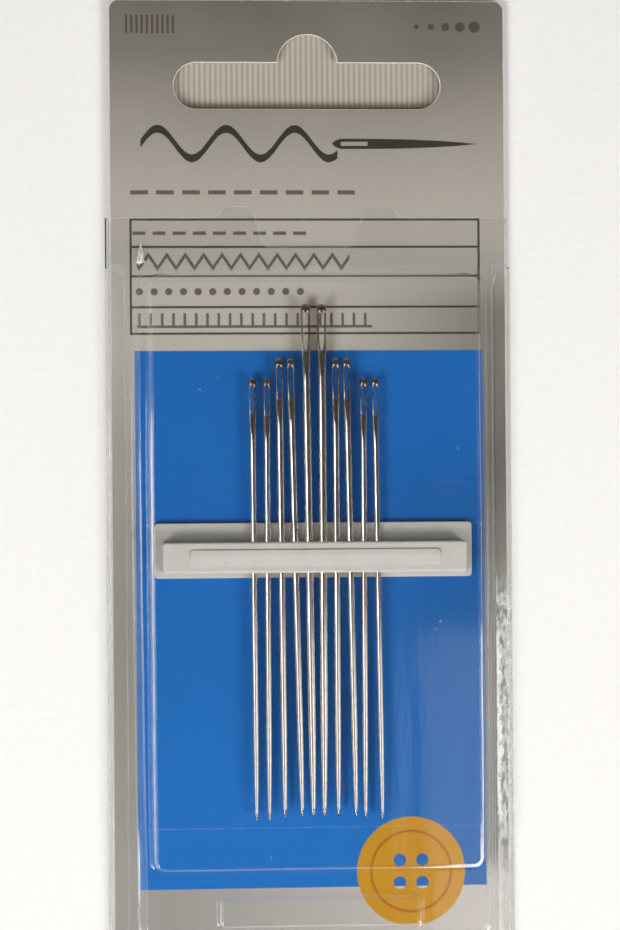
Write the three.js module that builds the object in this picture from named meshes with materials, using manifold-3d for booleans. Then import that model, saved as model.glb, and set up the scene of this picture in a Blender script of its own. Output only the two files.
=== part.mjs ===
// A carded pack of ten hand needles in millimetres, +Z up, lying on its back.
// +X is the pack's right, +Y points to the hang slot, +Z comes out of the printed face.
// The needles lie in the grooves of a white clamp bar on a hanging card. A clear tray holds
// the card's edges, and a clear moulded cover folds over the needles on a hinge at the foot.
import * as THREE from 'three';
import { mergeVertices } from 'three/addons/utils/BufferGeometryUtils.js';
import Module from 'manifold-3d';

const wasm = await Module();
wasm.setup();

// Sheets and clearances
const CLEAR_WALL = 0.4;
const CARD_THICKNESS = 0.5;
const SHEET_FIT = 0.1;
const EDGE_FIT = 0.3;
const RAIL_FIT = 0.15;
const NEEDLE_FIT = 0.1;
const HINGE_FIT = 0.2;

// Card
const CARD_WIDTH = 47.4;
const CARD_HEAD = 25.92;
const CARD_CORNER = 1.2;

// Hang slot: a long slot with a round rise in the middle of its upper edge
const SLOT_LENGTH = 32;
const SLOT_HEIGHT = 5.5;
const SLOT_RISE_RADIUS = 3.6;
const SLOT_RISE_LIFT = 2.5;
const SLOT_BELOW_EDGE = 10.2;

// Tray rails over the card's side edges
const LIP_HOLD = 1.4;

// Cover: flange, step, window, shelf and grip block
const FLANGE_SIDE = 0.6;
const FLANGE_TOP = 5.9;
const FLANGE_FOOT = 7.3;
const LEDGE_SIDE = 1.35;
const LEDGE_TOP = 1.05;
const SHELF_DEPTH = 8.1;
const STEP_HEIGHT = 2.8;
const STEP_CORNER = 2.2;
const WINDOW_HEIGHT = 5.4;
const WINDOW_CORNER = 1.6;
const WINDOW_SHIFT = 0.15;
const WALL_DRAFT = 0.35;
const EDGE_ROUND = 0.5;
const HEAD_ROOM = 2.95;
const TIP_ROOM = 5.5;
const GRIP_WIDTH = 24.8;
const GRIP_DEPTH = 4.2;
const GRIP_HEIGHT = 4.3;
const GRIP_CORNER = 1.2;
const GRIP_LEAD = 1.3;
const GRIP_SHIFT = 0.5;

// Lift tabs on the cover's top edge and the thumb notch between them
const TAB_SPACING = 17.2;
const TAB_WIDTH = 4.4;
const TAB_TIP_WIDTH = 3.6;
const TAB_RISE = 1.3;
const NOTCH_FLOOR_WIDTH = 10.8;
const NOTCH_DEPTH = 3.45;
const TAB_ROUND = 0.8;

// Living hinge at the foot
const HINGE_RADIUS = 0.45;
const HINGE_LENGTH = 40;

// Needle holder
const HOLDER_SHIFT = 0.3;
const SIDE_ROOM = 0.63;
const BASE_DEPTH = 6.55;
const BASE_THICKNESS = 0.6;
const BASE_LEAD = 0.83;
const BASE_CORNER = 0.5;
const BAR_END = 0.82;
const BAR_DEPTH = 3.7;
const BAR_ROOF = 0.6;
const BAR_CORNER = 0.45;
const BAR_ROUND = 0.3;
const PANEL_LENGTH = 30.0;
const PANEL_DEPTH = 1.9;
const PANEL_RISE = 0.2;
const PANEL_CORNER = 0.475;

// Needles: reach is how far the point lies below the middle of the bar
const NEEDLE_PITCH = 1.65;
const ROW_SHIFT = 0.5;
const EYE_CAP = 1.0;
const HEAD_BLEND = 3.0;
const HEAD_THINNING = 0.14;
const POINT_FULLNESS = 0.27;
const COARSE = {
  grade: 'coarse', length: 61.0, diameter: 1.02, reach: 30.9,
  point: 11.5, headWidth: 1.14, eyeLength: 4.6, eyeWidth: 0.66,
};
const MEDIUM = {
  grade: 'medium', length: 54.6, diameter: 0.86, reach: 30.95,
  point: 10.5, headWidth: 0.96, eyeLength: 3.9, eyeWidth: 0.54,
};
const FINE = {
  grade: 'fine', length: 52.7, diameter: 0.76, reach: 31.35,
  point: 10.0, headWidth: 0.86, eyeLength: 3.5, eyeWidth: 0.48,
};
const ROW = [FINE, FINE, MEDIUM, MEDIUM, COARSE, COARSE, MEDIUM, MEDIUM, FINE, FINE];

// How far each point drifts to the right, as a share of the free gap between two shafts
const DRIFT = [0.19, 0, 0.38, 1.16, 0.56, -0.05, 0, 0.87, -0.07, 0.64];

// Fineness of round stretches
const ARC_STEPS = 5;
const ARC_MIDDLE = 1 - Math.SQRT1_2;
const NEEDLE_SIDES = 12;
const HINGE_SIDES = 12;

// Rings of the point, as shares of its length, and of the crown, as shares of height and radius
const POINT_RINGS = [0.02, 0.1, 0.3, 0.6, 1];
const CROWN_RINGS = [[1, 1], [0.4, 0.8], [0.1, 0.45]];

// How far a cutter runs past what it cuts
const CUT_MARGIN = 1;

// Heights, from the back of the tray upwards
const trayTop = CLEAR_WALL;
const cardTop = trayTop + CARD_THICKNESS;
const sheetZ = cardTop + SHEET_FIT;
const baseTop = cardTop + BASE_THICKNESS;
const barHeight = COARSE.diameter + 2 * NEEDLE_FIT + BAR_ROOF;

// Places along Y, measured from the middle of the clamp bar
const highestHead = Math.max(...ROW.map((size) => size.length - size.reach));
const lowestPoint = -Math.max(...ROW.map((size) => size.reach));
const windowTop = highestHead + HEAD_ROOM + CLEAR_WALL;
const windowFoot = lowestPoint - TIP_ROOM - CLEAR_WALL;
const stepTop = windowTop + LEDGE_TOP;
const stepFoot = windowFoot - SHELF_DEPTH;
const coverTop = stepTop + FLANGE_TOP;
const coverFoot = stepFoot - FLANGE_FOOT;
const cardEdge = coverTop + CARD_HEAD;

// The hinge bead keeps its clearance to the sheets above and below it
const hingeHalfGap = (sheetZ - trayTop) / 2;
const hingeZ = trayTop + hingeHalfGap;
const hingeSetback = Math.sqrt((HINGE_RADIUS + HINGE_FIT) ** 2 - hingeHalfGap ** 2);
const hingeY = coverFoot - hingeSetback;
const cardFoot = hingeY + HINGE_RADIUS + EDGE_FIT;
const packFoot = hingeY - HINGE_RADIUS;
const packMiddle = (cardEdge + packFoot) / 2;

// Half widths, from the card inwards
const cardHalf = CARD_WIDTH / 2;
const railInner = cardHalf + RAIL_FIT;
const railOuter = railInner + CLEAR_WALL;
const lipInner = cardHalf - LIP_HOLD;
const flangeHalf = lipInner - EDGE_FIT;
const stepHalf = flangeHalf - FLANGE_SIDE;
const windowHalf = stepHalf - LEDGE_SIDE;
const baseHalf = windowHalf - CLEAR_WALL - SIDE_ROOM;
const barHalf = baseHalf - BAR_END;

// Joins and cuts

function toSolid(geometry) {
  const bare = geometry.clone();
  bare.deleteAttribute('normal');
  bare.deleteAttribute('uv');
  const merged = mergeVertices(bare, 1e-5);
  return new wasm.Manifold(new wasm.Mesh({
    numProp: 3,
    vertProperties: new Float32Array(merged.attributes.position.array),
    triVerts: new Uint32Array(merged.index.array),
  }));
}

function toGeometry(solid) {
  const mesh = solid.getMesh();
  const geometry = new THREE.BufferGeometry();
  geometry.setAttribute('position', new THREE.BufferAttribute(mesh.vertProperties, 3));
  geometry.setIndex(new THREE.BufferAttribute(mesh.triVerts, 1));
  const faceted = geometry.toNonIndexed();
  faceted.computeVertexNormals();
  return faceted;
}

// Shapes

function roundedRectangle(halfWidth, halfHeight, radius) {
  const shape = new THREE.Shape();
  const x = halfWidth - radius;
  const y = halfHeight - radius;
  shape.absarc(x, y, radius, 0, Math.PI / 2);
  shape.absarc(-x, y, radius, Math.PI / 2, Math.PI);
  shape.absarc(-x, -y, radius, Math.PI, Math.PI * 1.5);
  shape.absarc(x, -y, radius, Math.PI * 1.5, Math.PI * 2);
  return shape;
}

function polygon(points) {
  return new THREE.Shape(points.map(([x, y]) => new THREE.Vector2(x, y)));
}

function rectangle(left, right, foot, top) {
  return polygon([[left, foot], [right, foot], [right, top], [left, top]]);
}

// Corners are given as x, y and how far along each side the rounding starts.
function roundedPolygon(corners) {
  const shape = new THREE.Shape();
  corners.forEach(([x, y, round], index) => {
    const corner = new THREE.Vector2(x, y);
    const [beforeX, beforeY] = corners.at(index - 1);
    const [afterX, afterY] = corners[(index + 1) % corners.length];
    const from = new THREE.Vector2(beforeX, beforeY).sub(corner).setLength(round).add(corner);
    const to = new THREE.Vector2(afterX, afterY).sub(corner).setLength(round).add(corner);
    if (index === 0) {
      shape.moveTo(from.x, from.y);
    } else {
      shape.lineTo(from.x, from.y);
    }
    if (round > 0) {
      shape.quadraticCurveTo(x, y, to.x, to.y);
    }
  });
  shape.closePath();
  return shape;
}

function plate(shape, bottom, top) {
  const options = { depth: top - bottom, bevelEnabled: false, curveSegments: ARC_STEPS };
  return new THREE.ExtrudeGeometry(shape, options).translate(0, 0, bottom);
}

// A rounded block whose outline draws in from layer to layer, as a moulded form does.
function mouldedBlock(halfWidth, halfHeight, radius, layers) {
  const steps = layers.length - 1;
  const options = { depth: steps, steps, bevelEnabled: false, curveSegments: ARC_STEPS };
  const shape = roundedRectangle(halfWidth, halfHeight, radius);
  const geometry = new THREE.ExtrudeGeometry(shape, options);
  const place = geometry.attributes.position;
  for (let i = 0; i < place.count; i += 1) {
    const { z, inset } = layers[Math.round(place.getZ(i))];
    const centreX = THREE.MathUtils.clamp(place.getX(i), radius - halfWidth, halfWidth - radius);
    const centreY = THREE.MathUtils.clamp(place.getY(i), radius - halfHeight, halfHeight - radius);
    const share = 1 - inset / radius;
    const x = centreX + (place.getX(i) - centreX) * share;
    const y = centreY + (place.getY(i) - centreY) * share;
    place.setXYZ(i, x, y, z);
  }
  return geometry;
}

function roundTopLayers(bottom, top, draft, round) {
  return [
    { z: bottom, inset: 0 },
    { z: top - round, inset: draft },
    { z: top - round * ARC_MIDDLE, inset: draft + round * ARC_MIDDLE },
    { z: top, inset: draft + round },
  ];
}

// Backing card

function hangSlot() {
  const half = SLOT_LENGTH / 2;
  const end = SLOT_HEIGHT / 2;
  const middle = cardEdge - SLOT_BELOW_EDGE;
  const riseStart = Math.asin((end - SLOT_RISE_LIFT) / SLOT_RISE_RADIUS);
  const slot = new THREE.Path();
  slot.absarc(half - end, middle, end, -Math.PI / 2, Math.PI / 2);
  slot.absarc(0, middle + SLOT_RISE_LIFT, SLOT_RISE_RADIUS, riseStart, Math.PI - riseStart);
  slot.absarc(end - half, middle, end, Math.PI / 2, Math.PI * 1.5);
  slot.closePath();
  return slot;
}

function backingCard() {
  const shape = new THREE.Shape();
  const x = cardHalf - CARD_CORNER;
  const top = cardEdge - CARD_CORNER;
  shape.moveTo(-cardHalf, cardFoot);
  shape.lineTo(cardHalf, cardFoot);
  shape.absarc(x, top, CARD_CORNER, 0, Math.PI / 2);
  shape.absarc(-x, top, CARD_CORNER, Math.PI / 2, Math.PI);
  shape.closePath();
  shape.holes.push(hangSlot());
  return plate(shape, trayTop, cardTop);
}

// Clear tray: a sheet behind the card with a folded rail along each side

function trayRail(side) {
  const section = polygon([
    [railInner, 0],
    [railOuter, 0],
    [railOuter, sheetZ + CLEAR_WALL],
    [lipInner, sheetZ + CLEAR_WALL],
    [lipInner, sheetZ],
    [railInner, sheetZ],
  ]);
  const rail = plate(section, -stepTop, -coverFoot);
  rail.rotateX(Math.PI / 2);
  return side > 0 ? rail : rail.rotateZ(Math.PI).translate(0, stepTop + coverFoot, 0);
}

function backTray() {
  const sheet = rectangle(-railOuter, railOuter, coverFoot, coverTop);
  const solid = toSolid(plate(sheet, 0, CLEAR_WALL));
  return toGeometry(solid.add(toSolid(trayRail(1))).add(toSolid(trayRail(-1))));
}

// Clear cover

function coverOutline() {
  const tab = TAB_SPACING / 2;
  const tip = coverTop + TAB_RISE;
  const rightEdge = [
    [flangeHalf, coverFoot, 0],
    [flangeHalf, stepTop + EDGE_FIT, 0],
    [cardHalf, stepTop + EDGE_FIT, 0],
    [cardHalf, coverTop, TAB_ROUND],
    [tab + TAB_WIDTH / 2, coverTop, 0],
    [tab + TAB_TIP_WIDTH / 2, tip, TAB_ROUND],
    [tab - TAB_TIP_WIDTH / 2, tip, TAB_ROUND],
    [NOTCH_FLOOR_WIDTH / 2, coverTop - NOTCH_DEPTH, TAB_ROUND],
  ];
  const leftEdge = rightEdge.map(([x, y, round]) => [-x, y, round]).reverse();
  return roundedPolygon([...rightEdge, ...leftEdge]);
}

function coverForms() {
  const gripFoot = stepFoot + GRIP_LEAD;
  const gripTop = gripFoot + GRIP_DEPTH;
  return [
    { shift: 0, half: stepHalf, foot: stepFoot, top: stepTop, height: STEP_HEIGHT, corner: STEP_CORNER },
    {
      shift: WINDOW_SHIFT, half: windowHalf, foot: windowFoot, top: windowTop,
      height: WINDOW_HEIGHT, corner: WINDOW_CORNER,
    },
    {
      shift: GRIP_SHIFT, half: GRIP_WIDTH / 2, foot: gripFoot, top: gripTop,
      height: GRIP_HEIGHT, corner: GRIP_CORNER,
    },
  ];
}

function coverBlock(form, wall, bottom) {
  const halfHeight = (form.top - form.foot) / 2;
  const layers = roundTopLayers(bottom, cardTop + form.height - wall, WALL_DRAFT, EDGE_ROUND - wall / 2);
  const block = mouldedBlock(form.half - wall, halfHeight - wall, form.corner - wall / 2, layers);
  return toSolid(block.translate(form.shift, (form.top + form.foot) / 2, 0));
}

function clearCover() {
  let solid = toSolid(plate(coverOutline(), sheetZ, sheetZ + CLEAR_WALL));
  for (const form of coverForms()) {
    solid = solid.add(coverBlock(form, 0, sheetZ));
  }
  for (const form of coverForms()) {
    solid = solid.subtract(coverBlock(form, CLEAR_WALL, sheetZ - CUT_MARGIN));
  }
  return toGeometry(solid);
}

function livingHinge() {
  const bead = new THREE.CylinderGeometry(HINGE_RADIUS, HINGE_RADIUS, HINGE_LENGTH, HINGE_SIDES);
  return bead.rotateZ(Math.PI / 2).translate(0, hingeY, hingeZ);
}

// Needle holder

function holderBase() {
  const layers = [
    { z: cardTop, inset: 0 },
    { z: baseTop, inset: 0 },
  ];
  const base = mouldedBlock(baseHalf, BASE_DEPTH / 2, BASE_CORNER, layers);
  return base.translate(HOLDER_SHIFT, BASE_LEAD, 0);
}

// An arched groove, open below, that a shaft of this diameter lies in with its clearance.
function grooveCutter(diameter) {
  const half = diameter / 2 + NEEDLE_FIT;
  const arch = new THREE.Shape();
  arch.moveTo(half, -CUT_MARGIN);
  arch.absarc(0, half, half, 0, Math.PI);
  arch.lineTo(-half, -CUT_MARGIN);
  arch.closePath();
  const reach = BAR_DEPTH / 2 + CUT_MARGIN;
  return plate(arch, -reach, reach).rotateX(Math.PI / 2);
}

function clampBar() {
  const barTop = baseTop + barHeight;
  const layers = roundTopLayers(baseTop, barTop, 0, BAR_ROUND);
  const panelLayers = roundTopLayers(baseTop + NEEDLE_FIT, barTop + PANEL_RISE, 0, PANEL_RISE / 2);
  const body = mouldedBlock(barHalf, BAR_DEPTH / 2, BAR_CORNER, layers);
  const panel = mouldedBlock(PANEL_LENGTH / 2, PANEL_DEPTH / 2, PANEL_CORNER, panelLayers);
  let solid = toSolid(body.translate(HOLDER_SHIFT, 0, 0));
  solid = solid.add(toSolid(panel.translate(HOLDER_SHIFT, 0, 0)));
  ROW.forEach((size, index) => {
    const cutter = grooveCutter(size.diameter).rotateZ(needleLean(index));
    solid = solid.subtract(toSolid(cutter.translate(needleX(index), 0, baseTop)));
  });
  return toGeometry(solid);
}

// Needles

function needleX(index) {
  return ROW_SHIFT + (index - (ROW.length - 1) / 2) * NEEDLE_PITCH;
}

function needleLean(index) {
  const freeGap = NEEDLE_PITCH - COARSE.diameter - NEEDLE_FIT;
  return Math.atan((DRIFT[index] * freeGap) / ROW[index].reach);
}

// A turned shaft from its point, at minus reach, to its round head, with the eye cut through.
function needle(size) {
  const radius = size.diameter / 2;
  const head = size.length - size.reach;
  const eyeZone = EYE_CAP + size.eyeLength;
  const profile = [new THREE.Vector2(0, -size.reach)];
  for (const share of POINT_RINGS) {
    profile.push(new THREE.Vector2(radius * share ** POINT_FULLNESS, share * size.point - size.reach));
  }
  const blendEnd = head - eyeZone;
  const blendStart = blendEnd - HEAD_BLEND;
  for (const y of [blendStart, (blendStart + blendEnd) / 2, blendEnd]) {
    profile.push(new THREE.Vector2(radius, y));
  }
  for (const [drop, share] of CROWN_RINGS) {
    profile.push(new THREE.Vector2(radius * share, head - (drop * size.headWidth) / 2));
  }
  profile.push(new THREE.Vector2(0, head));
  const shaft = new THREE.LatheGeometry(profile, NEEDLE_SIDES);
  const place = shaft.attributes.position;
  for (let i = 0; i < place.count; i += 1) {
    const share = THREE.MathUtils.smoothstep(place.getY(i), blendStart, blendEnd);
    const wide = 1 + share * (size.headWidth / size.diameter - 1);
    const thin = 1 - share * HEAD_THINNING;
    place.setX(i, place.getX(i) * wide);
    place.setZ(i, place.getZ(i) * thin);
  }
  const eye = roundedRectangle(size.eyeWidth / 2, size.eyeLength / 2, size.eyeWidth / 2);
  const cutter = plate(eye, -size.diameter, size.diameter);
  cutter.translate(0, head - EYE_CAP - size.eyeLength / 2, 0);
  return toGeometry(toSolid(shaft).subtract(toSolid(cutter)));
}

// Materials

function clearPlastic() {
  return new THREE.MeshStandardMaterial({
    color: 0xe8eef0, roughness: 0.08, metalness: 0, transparent: true, opacity: 0.3,
  });
}

function printedCard() {
  return new THREE.MeshStandardMaterial({ color: 0xb4b6b6, roughness: 0.55, metalness: 0 });
}

function whitePlastic() {
  return new THREE.MeshStandardMaterial({ color: 0xd6d4d0, roughness: 0.45, metalness: 0 });
}

function nickelSteel() {
  return new THREE.MeshStandardMaterial({ color: 0xc9c6c0, roughness: 0.2, metalness: 1 });
}

// Assembly: places are measured from the clamp bar, then centred on the pack's middle

const assembly = new THREE.Group();
assembly.position.y = -packMiddle;

function addPiece(name, geometry, material) {
  const mesh = new THREE.Mesh(geometry, material);
  mesh.name = name;
  assembly.add(mesh);
  return mesh;
}

addPiece('back_tray', backTray(), clearPlastic());
addPiece('backing_card', backingCard(), printedCard());
addPiece('holder_base', holderBase(), whitePlastic());
addPiece('clamp_bar', clampBar(), whitePlastic());
addPiece('clear_cover', clearCover(), clearPlastic());
addPiece('living_hinge', livingHinge(), clearPlastic());

ROW.forEach((size, index) => {
  const number = String(index + 1).padStart(2, '0');
  const piece = addPiece(`needle_${number}_${size.grade}`, needle(size), nickelSteel());
  piece.position.set(needleX(index), 0, baseTop + NEEDLE_FIT + size.diameter / 2);
  piece.rotation.z = needleLean(index);
});

const pack = new THREE.Group();
pack.add(assembly);

export default pack;
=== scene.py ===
import math
from functools import partial, reduce

import bmesh
import bpy
from mathutils import Matrix, Vector, noise
from mathutils.geometry import tessellate_polygon


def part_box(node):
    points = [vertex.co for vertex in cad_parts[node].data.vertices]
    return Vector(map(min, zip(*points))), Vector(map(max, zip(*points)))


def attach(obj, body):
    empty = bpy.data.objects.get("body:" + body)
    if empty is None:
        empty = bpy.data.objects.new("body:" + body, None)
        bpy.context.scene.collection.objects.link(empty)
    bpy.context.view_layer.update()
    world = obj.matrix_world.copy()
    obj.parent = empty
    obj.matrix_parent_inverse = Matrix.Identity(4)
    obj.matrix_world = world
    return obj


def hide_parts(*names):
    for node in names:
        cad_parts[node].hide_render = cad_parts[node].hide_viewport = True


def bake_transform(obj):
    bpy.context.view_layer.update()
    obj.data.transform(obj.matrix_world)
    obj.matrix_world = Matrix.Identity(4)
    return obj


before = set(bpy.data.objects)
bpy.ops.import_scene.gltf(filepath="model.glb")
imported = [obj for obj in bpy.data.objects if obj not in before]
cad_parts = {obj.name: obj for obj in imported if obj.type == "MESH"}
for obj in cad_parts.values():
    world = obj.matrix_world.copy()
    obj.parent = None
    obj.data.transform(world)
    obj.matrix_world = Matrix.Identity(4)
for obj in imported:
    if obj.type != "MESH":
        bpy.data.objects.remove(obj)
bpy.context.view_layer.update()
NOISE_SEED = 5
noise.seed_set(NOISE_SEED)

MM = 0.001
RIGHT_ANGLE = math.pi / 2


def box_mm(node):
    """Lowest and highest corner of a CAD node, in millimetres."""
    low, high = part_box(node)
    return low / MM, high / MM


card_low, card_high = box_mm("backing_card")
tray_low, tray_high = box_mm("back_tray")
cover_low, cover_high = box_mm("clear_cover")
base_low, base_high = box_mm("holder_base")
bar_low, bar_high = box_mm("clamp_bar")
hinge_half = box_mm("living_hinge")[1].x

# Sizes shared with the part's source, in millimetres
WALL = 0.4
CARD_CORNER = 1.2
SLOT_LENGTH, SLOT_HEIGHT, SLOT_BELOW_EDGE = 32.0, 5.5, 10.2
RISE_RADIUS, RISE_LIFT = 3.6, 2.5
FLANGE_SIDE, FLANGE_TOP, FLANGE_FOOT = 0.6, 5.9, 7.3
LIP_HOLD, EDGE_FIT = 1.4, 0.3
LEDGE_SIDE, LEDGE_TOP, SHELF_DEPTH = 1.35, 1.05, 8.1
STEP_HEIGHT, STEP_CORNER = 2.8, 2.2
WINDOW_HEIGHT, WINDOW_CORNER, WINDOW_SHIFT = 5.4, 1.6, 0.15
GRIP_WIDTH, GRIP_DEPTH, GRIP_HEIGHT, GRIP_CORNER = 24.8, 4.2, 4.3, 1.2
GRIP_LEAD, GRIP_SHIFT = 1.3, 0.5
WALL_DRAFT, EDGE_ROUND, FOOT_ROUND = 0.35, 0.5, 0.35
TAB_SPACING, TAB_WIDTH, TAB_TIP_WIDTH, TAB_RISE, TAB_ROUND = 17.2, 4.4, 3.6, 1.3, 0.8
NOTCH_FLOOR_WIDTH, NOTCH_DEPTH = 10.8, 3.45
BASE_CORNER, BAR_CORNER, BAR_ROUND = 0.5, 0.45, 0.3
PANEL_LENGTH, PANEL_DEPTH, PANEL_RISE, PANEL_CORNER = 30.0, 1.9, 0.2, 0.475
NEEDLE_PITCH, ROW_SHIFT, NEEDLE_FIT = 1.65, 0.5, 0.1
EYE_CAP, HEAD_BLEND, HEAD_THINNING, POINT_FULLNESS = 1.0, 3.0, 0.14, 0.27
COARSE = dict(grade="coarse", length=61.0, diameter=1.02, reach=30.9, point=11.5,
              head=1.14, eye_length=4.6, eye_width=0.66)
MEDIUM = dict(grade="medium", length=54.6, diameter=0.86, reach=30.95, point=10.5,
              head=0.96, eye_length=3.9, eye_width=0.54)
FINE = dict(grade="fine", length=52.7, diameter=0.76, reach=31.35, point=10.0,
            head=0.86, eye_length=3.5, eye_width=0.48)
ROW = [FINE, FINE, MEDIUM, MEDIUM, COARSE, COARSE, MEDIUM, MEDIUM, FINE, FINE]
DRIFT = [0.19, 0, 0.38, 1.16, 0.56, -0.05, 0, 0.87, -0.07, 0.64]

card_top = card_high.z
bar_middle = (bar_low.y + bar_high.y) / 2
holder_middle = (bar_low.x + bar_high.x) / 2
cover_foot = cover_low.y
cover_top = cover_high.y - TAB_RISE
step_top = cover_top - FLANGE_TOP
step_foot = cover_foot + FLANGE_FOOT
window_top = step_top - LEDGE_TOP
window_foot = step_foot + SHELF_DEPTH
grip_foot = step_foot + GRIP_LEAD
flange_half = card_high.x - LIP_HOLD - EDGE_FIT
step_half = flange_half - FLANGE_SIDE
window_half = step_half - LEDGE_SIDE
flange_z = cover_low.z + WALL
step_z = card_top + STEP_HEIGHT
window_z = card_top + WINDOW_HEIGHT
grip_z = card_top + GRIP_HEIGHT


# Mesh building


def link(name, data):
    piece = bpy.data.objects.new(name, data)
    bpy.context.scene.collection.objects.link(piece)
    return piece


class Shell:
    """Collects points in millimetres and faces, and makes one mesh object of them."""

    def __init__(self):
        self.points = []
        self.faces = []
        self.smooth = []
        self.slots = []
        self.marks = {}

    def add(self, points):
        start = len(self.points)
        self.points += [tuple(p) for p in points]
        return list(range(start, len(self.points)))

    def face(self, corners, smooth=True, slot=0):
        self.faces.append(tuple(corners))
        self.smooth.append(smooth)
        self.slots.append(slot)

    def bridge(self, a, b, smooth=True, closed=True, slot=0):
        count = len(a)
        for i in range(count if closed else count - 1):
            j = (i + 1) % count
            self.face((a[i], a[j], b[j], b[i]), smooth, slot)

    def fill(self, *loops):
        flat = [i for loop in loops for i in loop]
        places = [[Vector(self.points[i]) for i in loop] for loop in loops]
        for corners in tessellate_polygon(places):
            self.face([flat[c] for c in corners], smooth=False)

    def loft(self, rings, smooth=True, slot=0, ends=True):
        """A skin over a row of rings, closed at both ends unless it is told otherwise."""
        for a, b in zip(rings, rings[1:]):
            self.bridge(a, b, smooth, slot=slot)
        if ends:
            self.fill(rings[0])
            self.fill(rings[-1])

    def make(self, name, *materials, crease=35):
        """Edges that turn by more than the crease, in degrees, stay sharp."""
        mesh = bpy.data.meshes.new(name)
        mesh.from_pydata([Vector(p) * MM for p in self.points], [], self.faces)
        mesh.polygons.foreach_set("use_smooth", self.smooth)
        mesh.polygons.foreach_set("material_index", self.slots)
        for mark, values in self.marks.items():
            mesh.attributes.new(mark, "FLOAT", "POINT").data.foreach_set("value", values)
        work = bmesh.new()
        work.from_mesh(mesh)
        bmesh.ops.remove_doubles(work, verts=work.verts, dist=1e-7)
        bmesh.ops.dissolve_degenerate(work, edges=work.edges, dist=1e-8)
        bmesh.ops.recalc_face_normals(work, faces=work.faces)
        work.to_mesh(mesh)
        work.free()
        smooth = [face.use_smooth for face in mesh.polygons]
        mesh.set_sharp_from_angle(angle=math.radians(crease))
        mesh.polygons.foreach_set("use_smooth", smooth)
        piece = link(name, mesh)
        for material in materials:
            mesh.materials.append(material)
        return piece


def settle(piece, body, node):
    """The piece rides on a body and stands for a CAD node, which is hidden."""
    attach(piece, body)
    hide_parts(node)
    return piece


def lerp(a, b, share):
    return a + (b - a) * share


def unit(value):
    return min(1.0, max(0.0, value))


def ease(value):
    """A soft rise from 0 to 1."""
    t = unit(value)
    return t * t * (3 - 2 * t)


def slope(value, *stops):
    """A value read off a line through stops, given with their places rising."""
    if value <= stops[0][0]:
        return stops[0][1]
    for (a, low), (b, high) in zip(stops, stops[1:]):
        if value <= b:
            return lerp(low, high, (value - a) / (b - a))
    return stops[-1][1]


def arc(x, y, radius, start, stop, steps):
    """Points along an arc, from angle to angle in quarter turns."""
    angles = [lerp(start, stop, k / steps) * RIGHT_ANGLE for k in range(steps + 1)]
    return [(x + radius * math.cos(a), y + radius * math.sin(a)) for a in angles]


def rounded_ring(left, right, foot, top, radius, z, along_x=1, along_y=1, steps=8):
    """Points round a rectangle with round corners, with extra points along its straight sides."""
    left, right, foot, top = left + radius, right - radius, foot + radius, top - radius
    centres = ((right, top), (left, top), (left, foot), (right, foot))
    arcs = [arc(x, y, radius, turn, turn + 1, steps) for turn, (x, y) in enumerate(centres)]
    points = []
    for corner, after, extra in zip(arcs, arcs[1:] + arcs[:1], (along_x, along_y) * 2):
        (ax, ay), (bx, by) = corner[-1], after[0]
        points += corner + [(lerp(ax, bx, k / extra), lerp(ay, by, k / extra)) for k in range(1, extra)]
    return [(x, y, z) for x, y in points]


def rounded_polygon(corners, steps=6):
    """Corners are x, y and how far along each side the rounding starts."""
    points = []
    for index, (x, y, reach) in enumerate(corners):
        here = Vector((x, y))
        before = Vector(corners[index - 1][:2])
        after = Vector(corners[(index + 1) % len(corners)][:2])
        if reach == 0:
            points.append((x, y))
            continue
        start = here + (before - here).normalized() * reach
        end = here + (after - here).normalized() * reach
        for k in range(steps + 1):
            t = k / steps
            p = start * (1 - t) ** 2 + here * 2 * t * (1 - t) + end * t * t
            points.append((p.x, p.y))
    return points


def inset_loop(points, distance):
    """The loop drawn in to its left by a distance, along the mean of its sides' normals."""
    moved = []
    count = len(points)
    for i, point in enumerate(points):
        before, here, after = Vector(points[i - 1]), Vector(point), Vector(points[(i + 1) % count])
        a, b = (here - before).normalized(), (after - here).normalized()
        normal = Vector((-a.y - b.y, a.x + b.x)).normalized()
        share = max(0.5, normal.dot(Vector((-a.y, a.x))))
        moved.append(tuple(here + normal * distance / share))
    return moved


# Materials


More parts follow.
